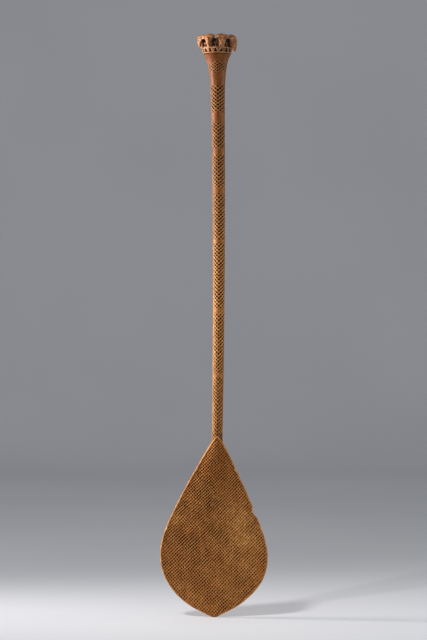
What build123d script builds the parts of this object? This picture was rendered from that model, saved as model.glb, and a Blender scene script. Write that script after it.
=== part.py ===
from build123d import *

import math
import os

# Carved ceremonial paddle, standing on the tip of its blade. Millimetres, +Z up.
# +X is to the viewer's right and the carved front faces -Y. The origin is the middle of the small
# worn foot at the blade's tip. The real paddle is cut from one billet, so its carved members meet
# face to face here, with no fasteners between them.

# Blade: from the tip up to its widest level, and from there up to its root
blade_width = 217.6
lower_length = 121.0
upper_length = 232.0
root_width = 25.8
foot_width = 9.0
foot_thickness = 5.6
middle_thickness = 12.4
root_thickness = 20.6
edge_thickness = 5.0
foot_edge_thickness = 4.0
root_edge_thickness = 13.0

# Outline of the blade: (share of the length, share of the half width, drift of the middle towards +X)
LOWER_OUTLINE = ((0.066, 0.193, 0.0), (0.165, 0.407, 0.1), (0.32, 0.635, 0.1), (0.52, 0.831, 0.8),
                 (0.72, 0.947, 0.6))
UPPER_OUTLINE = ((0.142, 0.965, -1.0), (0.26, 0.885, -1.1), (0.38, 0.778, -0.2), (0.535, 0.626, 1.0),
                 (0.695, 0.459, 2.7), (0.772, 0.372, 4.0), (0.85, 0.287, 4.8), (0.93, 0.196, 5.5))
root_drift = 6.2

# The raised border round the carved field; it climbs the shaft as an inverted V
border_width = 3.2
field_relief = 0.6
v_rise = 14.5

# The old shallow loss on the blade's right edge
loss_height = 200.5
loss_length = 23.5
loss_depth = 2.7

# Shaft: its length above the V, its radii at four levels, and its slow bow towards +X
root_shoulder = 5.5
root_collar = 6.0
root_collar_swell = 0.1
shaft_length = 652.5
shaft_foot_radius = 11.0
shaft_grip_radius = 11.9
shaft_shoulder_radius = 13.1
shaft_head_radius = 13.8
shaft_offset = 6.6
shaft_bow = 3.6

# Neck, flaring up to the carved crown: (share of the length, share of the growth)
neck_length = 113.0
neck_top_radius = 28.0
NECK_FLARE = ((0.0, 0.0), (0.35, 0.06), (0.57, 0.16), (0.75, 0.34), (0.90, 0.62), (1.0, 1.0))

# Crown: a pierced gallery between two mouldings, then a pierced wall behind the figures
moulding_height = 1.8
moulding_reach = 0.9
gallery_height = 7.6
gallery_thickness = 5.0
gallery_lean = 2.9
gallery_holes = 16
gallery_hole_width = 4.6
gallery_rail = 0.9
wall_height = 20.0
wall_thickness = 4.4
wall_flare = 1.0
small_hole_radius = 1.9
small_hole_lift = 4.4
small_hole_spread = 6.4
large_hole_radius = 3.0
large_hole_drop = 6.8
notch_depth = 9.0
notch_width = 10.0

# Figures: a long head that leans outwards over a short body, in pairs joined at the brow
figure_pairs = 4
first_figure_angle = 16.0
head_width = 24.5
head_depth = 13.5
head_height = 31.0
head_rise = 6.3
head_reach = 41.8
chin_width = 5.0
chin_depth = 4.0
chin_overhang = 1.4
worn_chin_loss = 7.0
worn_figures = (0, 5, 6, 7)
body_width = 13.0
body_depth = 6.4
body_height = 13.0
web_height = 3.3
web_drop = 3.4
web_reach = 6.0
web_angle = 19.0

# Level sections of a head: (share of its height, share of its width, share of its depth)
HEAD_SECTIONS = ((0.25, 0.42, 0.64), (0.55, 0.76, 0.92), (0.78, 1.0, 1.0), (0.94, 0.80, 0.74), (1.0, 0.38, 0.30))
BODY_SECTIONS = ((0.0, 1.0, 1.0), (0.45, 0.72, 0.85), (1.0, 0.90, 0.95))

root_height = lower_length + upper_length
v_apex_height = root_height + v_rise
v_slope = v_rise / (root_width / 2)
shaft_foot_height = v_apex_height + root_collar
shaft_head_height = shaft_foot_height + shaft_length
crown_height = shaft_head_height + neck_length
gallery_base = crown_height + moulding_height
waist_height = gallery_base + gallery_height
wall_base = waist_height + moulding_height
wall_top = wall_base + wall_height
head_top = wall_top + head_rise
gallery_radius = neck_top_radius + gallery_lean
wall_radius = gallery_radius + wall_flare
figure_count = 2 * figure_pairs
figure_pitch = 360 / figure_count
through = blade_width


def share(value, low, high):
    """How far value lies from low to high, from 0 to 1."""
    return min(1.0, max(0.0, (value - low) / (high - low)))


def mix(low, high, amount):
    """The value that lies amount of the way from low to high."""
    return low + (high - low) * amount


def shaft_middle(height):
    """X of the shaft's centre: a shallow bow between the blade's V and the crown."""
    along = share(height, v_apex_height, crown_height)
    return shaft_offset + shaft_bow * 4 * along * (1 - along)


def blade_stations():
    """(height, middle, half width, half thickness, half edge) up the blade and on to the round shaft."""
    rows = [(0.0, 0.0, foot_width / 2, foot_thickness / 2, foot_edge_thickness / 2)]
    for up, wide, drift in LOWER_OUTLINE:
        rows.append((up * lower_length, drift, wide * blade_width / 2,
                     mix(foot_thickness, middle_thickness, math.sqrt(up)) / 2,
                     mix(foot_edge_thickness, edge_thickness, up) / 2))
    rows.append((lower_length, 0.0, blade_width / 2, middle_thickness / 2, edge_thickness / 2))
    for up, wide, drift in UPPER_OUTLINE:
        rows.append((lower_length + up * upper_length, drift, wide * blade_width / 2,
                     mix(middle_thickness, root_thickness, up**2) / 2,
                     mix(edge_thickness, root_edge_thickness, up**6) / 2))
    rows.append((root_height, root_drift, root_width / 2, root_thickness / 2, root_edge_thickness / 2))
    collar = shaft_foot_radius + field_relief
    round_edge = collar / math.sqrt(2)
    shoulder_share = root_shoulder / v_rise
    rows.append((root_height + root_shoulder, mix(root_drift, shaft_offset, shoulder_share),
                 collar + root_collar_swell,
                 mix(root_thickness / 2, collar, shoulder_share),
                 mix(root_edge_thickness / 2, round_edge, shoulder_share)))
    rows.append((v_apex_height, shaft_offset, collar, collar, round_edge))
    rows.append((shaft_foot_height, shaft_middle(shaft_foot_height), collar, collar, round_edge))
    return rows


def lens(height, middle, wide, thick, edge):
    """One level section of the blade: two broad arcs joined by two small arcs at the edges."""
    corner = wide - edge * (math.sqrt(2) - 1)

    def at(x, y):
        return (middle + x, y, height)

    return Wire([
        ThreePointArc(at(-corner, -edge), at(0, -thick), at(corner, -edge)),
        ThreePointArc(at(corner, -edge), at(wide, 0), at(corner, edge)),
        ThreePointArc(at(corner, edge), at(0, thick), at(-corner, edge)),
        ThreePointArc(at(-corner, edge), at(-wide, 0), at(-corner, -edge)),
    ])


def blade_form(sunk):
    """The blade's whole form up to the round shaft, with its skin lowered by sunk."""
    return Solid.make_loft([
        lens(height, middle, wide - sunk, thick - sunk, edge - sunk * edge / thick)
        for height, middle, wide, thick, edge in blade_stations()
    ])


def outline(side):
    """The blade's outline on one side (-1 left, 1 right), from the foot to the shaft."""
    return Spline(*[(middle + side * wide, 0, h) for h, middle, wide, _, _ in blade_stations()])


def inset_outline(side):
    """The outline moved inwards by the border's width, without its loops at the foot."""
    curve = outline(side)
    steps = 2 * len(blade_stations())
    points = []
    for k in range(steps + 1):
        here = curve.position_at(k / steps)
        along = curve.tangent_at(k / steps)
        point = here + Vector(-side * along.Z, 0, side * along.X) * border_width
        if side * point.X > foot_width / 2 and point.Z > border_width:
            points.append(point)
    return Spline(*points)


def across(face):
    """A face in the XZ plane, made solid through the whole thickness of the paddle."""
    return extrude(face, amount=through, dir=(0, 1, 0), both=True)


def below_v(drop):
    """All that lies under the inverted V, lowered by drop."""
    apex = Vector(shaft_offset, 0, v_apex_height - drop)
    reach = blade_width
    points = [apex, apex + Vector(reach, 0, -reach * v_slope), apex + Vector(reach, 0, -2 * v_apex_height),
              apex + Vector(-reach, 0, -2 * v_apex_height), apex + Vector(-reach, 0, -reach * v_slope)]
    return across(Face(Wire.make_polygon(points)))


def inside_border():
    """The space inside the border: the inset outline, closed near the foot and cut by the V."""
    left = inset_outline(-1)
    right = inset_outline(1)
    face = Face(Wire([
        right,
        Line(right.position_at(1), left.position_at(1)),
        left,
        Line(left.position_at(0), right.position_at(0)),
    ]))
    return across(face) & below_v(border_width * math.hypot(1, v_slope))


def edge_loss():
    """The shallow hollow worn into the right edge."""
    curve = outline(1)
    samples = [curve.position_at(k / 500) for k in range(501)]

    def edge_at(height):
        return min(samples, key=lambda p: abs(p.Z - height))

    bottom = edge_at(loss_height)
    top = edge_at(loss_height + loss_length)
    chord = top - bottom
    inwards = Vector(-chord.Z, 0, chord.X).normalized()
    deepest = bottom + chord * 0.45 + inwards * loss_depth
    outside = bottom + chord * 0.5 - inwards * loss_length
    return across(Face(Wire([ThreePointArc(bottom, deepest, top), Line(top, outside), Line(outside, bottom)])))


def round_loft(stations):
    """A round member through level circles, given as (height, radius), that follow the bow."""
    return Solid.make_loft([
        Wire.make_circle(r, Plane((shaft_middle(h), 0, h), z_dir=(0, 0, 1))) for h, r in stations
    ])


def shaft():
    """The long round shaft, which thickens slowly from the blade to the neck."""
    marks = ((0.0, shaft_foot_radius), (0.43, shaft_grip_radius),
             (0.87, shaft_shoulder_radius), (1.0, shaft_head_radius))
    return round_loft([(shaft_foot_height + up * shaft_length, r) for up, r in marks])


def neck():
    """The trumpet-shaped neck: slow at first, then opening quickly."""
    return round_loft([
        (shaft_head_height + up * neck_length, mix(shaft_head_radius, neck_top_radius, growth))
        for up, growth in NECK_FLARE
    ])


def ring(low, high, outer_low, outer_high, thickness):
    """A round wall between two heights whose outside leans from one radius to the other."""
    profile = Face(Wire.make_polygon([
        (outer_low - thickness, 0, low), (outer_low, 0, low),
        (outer_high, 0, high), (outer_high - thickness, 0, high),
    ]))
    return revolve(profile, axis=Axis.Z)


def moulding(low, radius, thickness):
    """A plain raised band that stands proud of the wall beside it."""
    proud = radius + moulding_reach
    return ring(low, low + moulding_height, proud, proud, thickness + moulding_reach)


def facing(angle, radius, height):
    """A plane on the crown, turned angle degrees from the front towards +X; its Z points outwards."""
    turn = math.radians(angle)
    out = Vector(math.sin(turn), -math.cos(turn), 0)
    return Plane(origin=out * radius + Vector(0, 0, height),
                 x_dir=(math.cos(turn), math.sin(turn), 0), z_dir=out)


def level(angle, radius, height):
    """A level plane on the crown at that place, with X along the ring and Y inwards."""
    turn = math.radians(angle)
    out = Vector(math.sin(turn), -math.cos(turn), 0)
    return Plane(origin=out * radius + Vector(0, 0, height),
                 x_dir=(math.cos(turn), math.sin(turn), 0), z_dir=(0, 0, 1))


def figure_angle(index):
    """The direction that a figure faces."""
    return first_figure_angle + figure_pitch * index


def gallery():
    """The lower pierced ring, with one tapered opening under each figure and each gap."""
    body = ring(gallery_base, waist_height, neck_top_radius, gallery_radius, gallery_thickness)
    rise = gallery_height / 2 - gallery_rail
    half = gallery_hole_width / 2
    shape = Polygon((-half, -rise), (half, -rise), (half / 2, rise), (-half / 2, rise), align=None)
    shape = fillet(shape.vertices(), half / 3)
    for k in range(gallery_holes):
        place = facing(first_figure_angle + 360 / gallery_holes * k, 0, gallery_base + gallery_height / 2)
        body -= extrude(place * shape, amount=2 * gallery_radius)
    return body


def crown_wall():
    """The upper pierced wall: two small holes at each gap, then a large hole or an open notch."""
    body = ring(wall_base, wall_top, gallery_radius, wall_radius, wall_thickness)
    for k in range(figure_count):
        gap = figure_angle(k) + figure_pitch / 2
        for side in (-1, 1):
            place = facing(gap, 0, wall_base + small_hole_lift) * Location((side * small_hole_spread / 2, 0, 0))
            body -= extrude(place * Circle(small_hole_radius), amount=2 * wall_radius)
        if k % 2 == 0:
            place = facing(gap, 0, wall_top - large_hole_drop)
            body -= extrude(place * Circle(large_hole_radius), amount=2 * wall_radius)
        else:
            half = notch_width / 2
            wedge = Polygon((-half, wall_height), (-half, 0), (-half / 4, -notch_depth),
                            (half / 4, -notch_depth), (half, 0), (half, wall_height), align=None)
            body -= extrude(facing(gap, 0, wall_top) * wedge, amount=2 * wall_radius)
    return body


def head(index):
    """A head: level ovals from the narrow chin, which hangs clear, to the rounded top."""
    angle = figure_angle(index)
    chin = head_top - head_height
    if index in worn_figures:
        chin += worn_chin_loss
    middle = head_reach - head_depth / 2
    chin_middle = head_reach - chin_overhang - chin_depth / 2
    ovals = [Wire.make_ellipse(chin_width / 2, chin_depth / 2, level(angle, chin_middle, chin))]
    for up, wide, deep in HEAD_SECTIONS:
        radius = mix(chin_middle, middle, share(up, 0, 0.55))
        ovals.append(Wire.make_ellipse(wide * head_width / 2, deep * head_depth / 2,
                                       level(angle, radius, mix(chin, head_top, up))))
    return Solid.make_loft(ovals)


def trunk(index):
    """A short squatting body that stands on the waist moulding, against the wall."""
    return Solid.make_loft([
        Wire.make_ellipse(wide * body_width / 2, deep * body_depth / 2,
                          level(figure_angle(index), gallery_radius, wall_base + up * body_height))
        for up, wide, deep in BODY_SECTIONS
    ])


def largest(shape):
    """The biggest solid of a cut shape, without the shavings left inside the wall."""
    return max(shape.solids(), key=lambda solid: solid.volume)


def brow_web(index):
    """The saddle of wood that joins two paired heads, hooked over the top of the pierced wall."""
    inner = wall_radius - wall_thickness / 2
    outer = wall_radius + web_reach
    top = wall_top + web_height
    foot = wall_top - web_drop
    wall_at_foot = mix(wall_radius, gallery_radius, web_drop / wall_height)
    profile = Face(Wire.make_polygon([
        (inner, 0, wall_top), (wall_radius, 0, wall_top), (wall_at_foot, 0, foot),
        (outer, 0, foot), (outer, 0, top), (inner, 0, top),
    ]))
    start = figure_angle(index) + (figure_pitch - web_angle) / 2 - 90
    return Rot(0, 0, start) * revolve(profile, axis=Axis.Z, revolution_arc=web_angle)


def figure(index, wall, web):
    """A whole figure, cut where it meets the pierced wall and the web to its neighbour."""
    return largest(head(index) + trunk(index) - wall - web)


def write(name, shape):
    """Writes one member to its own file and prints its volume."""
    export_step(shape, f"parts/{name}.step")
    print(name, "solids", len(shape.solids()), "volume", round(shape.volume))


def main():
    os.makedirs("parts", exist_ok=True)
    loss = edge_loss()
    inside = inside_border()
    raised = blade_form(0)
    sunk = blade_form(field_relief)
    write("blade_border", ((raised & below_v(0)) - inside) - loss)
    write("blade_panel", (sunk & inside) - loss)
    write("shaft_root", largest(sunk - below_v(0)))
    write("shaft", shaft())
    write("neck", neck())

    crown = Location((shaft_middle(crown_height), 0, 0))
    write("gallery_base_moulding", crown * moulding(crown_height, neck_top_radius, gallery_thickness))
    write("pierced_gallery", crown * gallery())
    write("waist_moulding", crown * moulding(waist_height, gallery_radius, wall_thickness))
    wall = crown_wall()
    write("pierced_crown_wall", crown * wall)
    webs = [brow_web(2 * k) for k in range(figure_pairs)]
    for k in range(figure_count):
        write(f"figure_{k + 1}", crown * figure(k, wall, webs[k // 2]))
    write("brow_webs", Compound(children=[crown * web for web in webs]))


main()
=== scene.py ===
"""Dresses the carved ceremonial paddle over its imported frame: notched blade, banded shaft, pierced crown."""

import itertools
import logging
import math
from collections.abc import Callable, Sequence
from dataclasses import dataclass, field
from enum import Enum
from functools import cached_property

import bpy
import numpy as np
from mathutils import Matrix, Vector
from numpy.typing import NDArray


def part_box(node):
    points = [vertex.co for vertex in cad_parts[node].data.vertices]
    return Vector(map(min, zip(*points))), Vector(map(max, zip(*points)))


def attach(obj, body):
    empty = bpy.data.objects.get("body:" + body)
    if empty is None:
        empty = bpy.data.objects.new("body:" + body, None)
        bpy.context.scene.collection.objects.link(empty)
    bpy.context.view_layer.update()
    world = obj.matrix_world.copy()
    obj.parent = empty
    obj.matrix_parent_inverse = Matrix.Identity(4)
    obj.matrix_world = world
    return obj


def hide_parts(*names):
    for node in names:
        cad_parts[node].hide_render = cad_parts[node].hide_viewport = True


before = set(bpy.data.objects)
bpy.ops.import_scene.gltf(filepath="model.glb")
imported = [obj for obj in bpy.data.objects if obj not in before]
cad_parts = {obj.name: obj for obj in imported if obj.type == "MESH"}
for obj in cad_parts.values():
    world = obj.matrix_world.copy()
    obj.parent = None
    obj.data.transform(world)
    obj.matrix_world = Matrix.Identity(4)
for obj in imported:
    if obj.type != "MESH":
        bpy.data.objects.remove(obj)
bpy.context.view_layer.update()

Array = NDArray[np.float64]
Faces = NDArray[np.int64]
Colour = tuple[float, float, float]
Field = Callable[[Array, Array, Array], Array]

log = logging.getLogger("paddle")

MM = 0.001
BODY = "root"


class Side(Enum):
    """Which face of the blade a surface belongs to; the value is the sign of its Y."""

    FRONT = -1
    BACK = 1


def node_span(node: str) -> tuple[Vector, Vector]:
    """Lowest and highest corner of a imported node, in millimetres."""
    low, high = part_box(node)
    return low / MM, high / MM


def mix(low: Array | float, high: Array | float, amount: Array | float) -> Array | float:
    """The value that lies amount of the way from low to high."""
    return low + (high - low) * amount


def smooth_step(value: Array, low: float, high: float) -> Array:
    """Rises from 0 at low to 1 at high along 3t^2 - 2t^3."""
    t = np.clip((value - low) / (high - low), 0.0, 1.0)
    return t * t * (3 - 2 * t)


def bump(value: Array, centre: float, reach: float) -> Array:
    """A bell of height 1: exp(-((value - centre) / reach)^2)."""
    return np.exp(-(((value - centre) / reach) ** 2))


def smooth_through(value: Array, stations: Array) -> Array:
    """A cubic Hermite curve through stations, whose slopes are those between each station's neighbours.

    Args:
        value: where to read the curve.
        stations: rows of (place, height), in rising order of place.

    Returns:
        The curve's heights, held at the ends.
    """
    place, height = stations[:, 0], stations[:, 1]
    slope = np.gradient(height, place)
    k = np.clip(np.searchsorted(place, value) - 1, 0, len(place) - 2)
    width = place[k + 1] - place[k]
    t = np.clip((value - place[k]) / width, 0.0, 1.0)
    return ((2 * t**3 - 3 * t**2 + 1) * height[k] + (t**3 - 2 * t**2 + t) * width * slope[k]
            + (3 * t**2 - 2 * t**3) * height[k + 1] + (t**3 - t**2) * width * slope[k + 1])


def cell_hash(i: Array, j: Array, seed: float) -> Array:
    """A fixed number from 0 to 1 for each cell: the fraction of sin(12.99 i + 78.23 j + seed) * 43758.5."""
    spread = np.sin(i * 12.9898 + j * 78.233 + seed) * 43758.5453
    return spread - np.floor(spread)


@dataclass(frozen=True)
class Waver:
    """The slow drift of a hand: a sum of sine waves in fixed directions, about `amplitude` high.

    Attributes:
        amplitude: typical height of the drift.
        wavelength: length of its longest wave, in millimetres.
        seed: picks the directions and phases.
        waves: how many waves are added.
    """

    amplitude: float
    wavelength: float
    seed: int
    waves: int = 5

    def __call__(self, *places: Array) -> Array:
        """The drift at the given coordinates, one array for each."""
        draw = np.random.default_rng(self.seed)
        total = np.zeros(np.broadcast_shapes(*(np.shape(p) for p in places)))
        for k in range(self.waves):
            direction = draw.normal(size=len(places))
            direction /= np.linalg.norm(direction)
            turn = 2 * math.pi / (self.wavelength * 0.72**k)
            phase = draw.uniform(0, 2 * math.pi)
            along = sum(axis * place for axis, place in zip(direction, places))
            total += 0.8**k * np.sin(turn * along + phase)
        return self.amplitude * total / math.sqrt(self.waves)


@dataclass
class Surface:
    """A mesh in the making, in millimetres.

    Attributes:
        points: (n, 3) coordinates.
        faces: arrays of (m, 3) or (m, 4) corner numbers.
        marks: named values from 0 to 1 for each point, which the finishes read.
        sharp_angle: edges that turn by more than this many degrees are kept crisp.
    """

    points: Array
    faces: list[Faces]
    marks: dict[str, Array] = field(default_factory=dict)
    sharp_angle: float | None = None

    def joined(self, other: "Surface") -> "Surface":
        """Both surfaces in one mesh."""
        marks = {name: np.concatenate([self.marks[name], other.marks[name]]) for name in self.marks}
        moved = [faces + len(self.points) for faces in other.faces]
        return Surface(np.concatenate([self.points, other.points]), self.faces + moved, marks, self.sharp_angle)

    def build(self, name: str) -> bpy.types.Object:
        """Makes the Blender object, at the origin, with its place in its mesh.

        Args:
            name: the piece's name.

        Returns:
            The linked object, smooth shaded.
        """
        mesh = bpy.data.meshes.new(name)
        sizes = np.concatenate([np.full(len(f), f.shape[1]) for f in self.faces])
        corners = np.concatenate([f.ravel() for f in self.faces])
        mesh.vertices.add(len(self.points))
        mesh.vertices.foreach_set("co", (self.points * MM).astype(np.float32).ravel())
        mesh.loops.add(len(corners))
        mesh.loops.foreach_set("vertex_index", corners.astype(np.int32))
        mesh.polygons.add(len(sizes))
        mesh.polygons.foreach_set("loop_start", np.concatenate([[0], np.cumsum(sizes)[:-1]]).astype(np.int32))
        mesh.update(calc_edges=True)
        mesh.shade_smooth()
        if self.sharp_angle is not None:
            mesh.set_sharp_from_angle(angle=math.radians(self.sharp_angle))
        for mark, values in self.marks.items():
            layer = mesh.attributes.new(mark, "FLOAT", "POINT")
            layer.data.foreach_set("value", values.astype(np.float32))
        piece = bpy.data.objects.new(name, mesh)
        bpy.context.scene.collection.objects.link(piece)
        return piece


def grid_faces(rows: int, columns: int, wrap_rows: bool = False, wrap_columns: bool = False) -> Faces:
    """Quads of a grid of points numbered row by row.

    Args:
        rows: number of rows.
        columns: number of points in a row.
        wrap_rows: joins the last row to the first.
        wrap_columns: joins the last column to the first.

    Returns:
        (m, 4) corner numbers.
    """
    r = np.arange(rows if wrap_rows else rows - 1)[:, None]
    c = np.arange(columns if wrap_columns else columns - 1)[None, :]
    above, beside = (r + 1) % rows, (c + 1) % columns
    quads = (r * columns + c, r * columns + beside, above * columns + beside, above * columns + c)
    return np.stack(np.broadcast_arrays(*quads), axis=-1).reshape(-1, 4)


def closed_tube(rings: Array) -> tuple[Array, list[Faces]]:
    """A skin over rings of points, closed at both ends by a fan about each end ring's middle.

    Args:
        rings: (rows, columns, 3) points, each row running anticlockwise seen from the last row's end.

    Returns:
        The points and the faces.
    """
    rows, columns, _ = rings.shape
    points = np.concatenate([rings.reshape(-1, 3), [rings[0].mean(axis=0)], [rings[-1].mean(axis=0)]])
    here = np.arange(columns)
    beside = (here + 1) % columns
    first = np.stack([beside, here, np.full(columns, rows * columns)], axis=1)
    top = (rows - 1) * columns
    last = np.stack([top + here, top + beside, np.full(columns, rows * columns + 1)], axis=1)
    return points, [grid_faces(rows, columns, wrap_columns=True), first, last]


def surface_net(field_values: Array, origin: Array, step: float) -> tuple[Array, list[Faces]]:
    """Naive surface net: one point in each mixed cell, at the mean of its edge crossings, and one quad
    round each grid edge that the surface crosses.

    Args:
        field_values: samples on a regular grid, below zero inside the solid.
        origin: the grid's first corner.
        step: the grid's spacing.

    Returns:
        The points and the outward-facing quads.
    """
    shape = np.array(field_values.shape) - 1
    corners = {c: field_values[tuple(slice(o, o + n) for o, n in zip(c, shape))]
               for c in itertools.product((0, 1), repeat=3)}
    total = np.zeros((*shape, 3))
    count = np.zeros(shape)
    for axis in range(3):
        for start in (c for c in corners if c[axis] == 0):
            stop = tuple(1 if k == axis else v for k, v in enumerate(start))
            low, high = corners[start], corners[stop]
            crossed = (low < 0) != (high < 0)
            gap = np.where(crossed, low - high, 1.0)
            place = np.zeros((*shape, 3)) + np.array(start, float)
            place[..., axis] += np.where(crossed, low / gap, 0.0)
            total += place * crossed[..., None]
            count += crossed
    mixed = count > 0
    number = np.full(shape, -1)
    number[mixed] = np.arange(mixed.sum())
    cells = np.stack(np.nonzero(mixed), axis=1)
    points = origin + step * (cells + total[mixed] / count[mixed][:, None])
    quads = []
    for axis in range(3):
        second, third = (axis + 1) % 3, (axis + 2) % 3
        inner = [slice(1, n) for n in shape]
        inner[axis] = slice(0, shape[axis])
        ahead = list(inner)
        ahead[axis] = slice(1, shape[axis] + 1)
        low, high = field_values[tuple(inner)], field_values[tuple(ahead)]
        edges = np.stack(np.nonzero((low < 0) != (high < 0)), axis=1)
        leaving = low[tuple(edges.T)] < 0
        edges += [0 if k == axis else 1 for k in range(3)]
        ring = []
        for back_second, back_third in ((1, 1), (0, 1), (0, 0), (1, 0)):
            cell = edges.copy()
            cell[:, second] -= back_second
            cell[:, third] -= back_third
            ring.append(number[tuple(cell.T)])
        quad = np.stack(ring, axis=1)
        quads.append(np.where(leaving[:, None], quad, quad[:, ::-1]))
    return points, [np.concatenate(quads)]


@dataclass(frozen=True)
class NotchCut:
    """One chip-carved notch, which repeats on a diagonal lattice.

    In lattice units a and b run along the two families of ridges, which stand at the half-integers.
    A notch is a blunt pyramid sunk between them. With m = min(1 - |2b|, bar + (1 - bar)(1 - |2a|)), its
    depth is depth * (m - flat) / (level - flat), held between 0 and depth, so each ridge has a narrow
    crest, each notch a level floor, and the bars across a groove lie lower than the ridges beside it.

    Attributes:
        depth: depth of a whole notch, in millimetres.
        bar: how far the cross bars lie below the ridges.
        flat: where the crest of a ridge ends.
        level: where the floor of a notch begins.
        unevenness: how much the depth differs from notch to notch.
        seed: picks those differences.
    """

    depth: float
    bar: float
    flat: float
    level: float
    unevenness: float
    seed: float

    def share(self, a: Array, b: Array, stripes: Array | float = 1.0) -> Array:
        """How deep the carving is at lattice place (a, b), from 0 on a ridge to about 1 in a notch.

        Args:
            a: place along one family of ridges.
            b: place along the other.
            stripes: scales bar; at 0 the cross bars are as high as the ridges and the notches look square.

        Returns:
            The share of the depth.
        """
        row, column = np.rint(a), np.rint(b)
        bar = self.bar * stripes
        across = 1 - 2 * np.abs(b - column)
        along = bar + (1 - bar) * (1 - 2 * np.abs(a - row))
        sunk = np.clip((np.minimum(across, along) - self.flat) / (self.level - self.flat), 0.0, 1.0)
        return sunk * (1 - self.unevenness * cell_hash(row, column, self.seed))


@dataclass(frozen=True)
class BladeForm:
    """Outline and thickness of the blade, read from the frame's boxes and the same shares as the solids."""

    width: float
    apex_height: float
    foot_height: float
    crown_height: float
    widest_height: float = 121.0
    root_height: float = 353.0
    root_width: float = 25.8
    root_shoulder: float = 5.5
    root_drift: float = 6.2
    foot_width: float = 9.0
    foot_thickness: float = 5.6
    middle_thickness: float = 12.4
    root_thickness: float = 20.6
    edge_thickness: float = 5.0
    foot_edge: float = 4.0
    root_edge: float = 13.0
    relief: float = 0.6
    shaft_radius: float = 11.0
    shaft_offset: float = 6.6
    shaft_bow: float = 3.6
    loss_low: float = 200.5
    loss_high: float = 224.0
    loss_depth: float = 3.6

    def stations(self) -> Array:
        """Rows of (height, middle, half width, half thickness, half edge) from the foot to the round shaft."""
        low = [(0.066, 0.193, 0.0), (0.165, 0.407, 0.1), (0.32, 0.635, 0.1), (0.52, 0.831, 0.8), (0.72, 0.947, 0.6)]
        high = [(0.142, 0.965, -1.0), (0.26, 0.885, -1.1), (0.38, 0.778, -0.2), (0.535, 0.626, 1.0),
                (0.695, 0.459, 2.7), (0.772, 0.372, 4.0), (0.85, 0.287, 4.8), (0.93, 0.196, 5.5)]
        half = self.width / 2
        upper = self.root_height - self.widest_height
        collar = self.shaft_radius + self.relief
        round_edge = collar / math.sqrt(2)
        rows = [(0.0, 0.0, self.foot_width / 2, self.foot_thickness / 2, self.foot_edge / 2)]
        for up, wide, drift in low:
            rows.append((up * self.widest_height, drift, wide * half,
                         mix(self.foot_thickness, self.middle_thickness, math.sqrt(up)) / 2,
                         mix(self.foot_edge, self.edge_thickness, up) / 2))
        rows.append((self.widest_height, 0.0, half, self.middle_thickness / 2, self.edge_thickness / 2))
        for up, wide, drift in high:
            rows.append((self.widest_height + up * upper, drift, wide * half,
                         mix(self.middle_thickness, self.root_thickness, up**2) / 2,
                         mix(self.edge_thickness, self.root_edge, up**6) / 2))
        rows.append((self.root_height, self.root_drift, self.root_width / 2,
                     self.root_thickness / 2, self.root_edge / 2))
        share = self.root_shoulder / (self.apex_height - self.root_height)
        rows.append((self.root_height + self.root_shoulder, mix(self.root_drift, self.shaft_offset, share),
                     collar + 0.1, mix(self.root_thickness / 2, collar, share),
                     mix(self.root_edge / 2, round_edge, share)))
        rows.append((self.apex_height, self.shaft_offset, collar, collar, round_edge))
        rows.append((self.foot_height, self.shaft_offset, collar, collar, round_edge))
        return np.array(rows)

    def read(self, z: Array, column: int) -> Array:
        """One column of the stations, as a smooth curve read at the heights z."""
        rows = self.stations()
        return smooth_through(z, rows[:, [0, column]])

    def shaft_middle(self, z: Array) -> Array:
        """X of the shaft's centre: shaft_offset + bow * 4t(1 - t) between the V and the crown."""
        t = np.clip((z - self.apex_height) / (self.crown_height - self.apex_height), 0.0, 1.0)
        return self.shaft_offset + self.shaft_bow * 4 * t * (1 - t)

    def middle(self, z: Array) -> Array:
        """X of the blade's centre, which drifts over to the shaft's."""
        return self.read(z, 1)

    def skin(self, x: Array, z: Array) -> Array:
        """Half thickness at (x, z): a broad arc over the face, then a small arc round the edge."""
        wide, thick, edge = (self.read(z, column) for column in (2, 3, 4))
        bulge = edge * (math.sqrt(2) - 1)
        corner, rise = wide - bulge, thick - edge
        offset = np.abs(x - self.middle(z))
        radius = (corner**2 + rise**2) / (2 * rise)
        face = thick - radius + np.sqrt(np.maximum(radius**2 - offset**2, 0.0))
        small = (edge**2 + bulge**2) / (2 * bulge)
        rim = np.sqrt(np.maximum(small**2 - (offset - wide + small) ** 2, 0.0))
        return np.where(offset < corner, face, rim)

    def v_line(self, x: Array, drop: float, soft: float) -> Array:
        """Height of the inverted V at x, lowered by drop, with its point rounded as sqrt(dx^2 + soft^2)."""
        slope = (self.apex_height - self.root_height) / (self.root_width / 2)
        dx = x - self.shaft_offset
        return self.apex_height - drop - slope * (np.sqrt(dx * dx + soft * soft) - soft)

    def depth_inside(self, x: Array, z: Array) -> Array:
        """Distance in from the outline and from the V, in millimetres; below zero outside."""
        step = 0.5
        wide = self.read(z, 2)
        lean = (self.read(z + step, 2) - wide) / step
        side = (wide - np.abs(x - self.middle(z))) / np.sqrt(1 + lean**2)
        slope = (self.apex_height - self.root_height) / (self.root_width / 2)
        under = (self.v_line(x, 0.0, 1.0) - z) / math.hypot(1, slope)
        return np.minimum(np.minimum(side, under), z)


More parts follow.
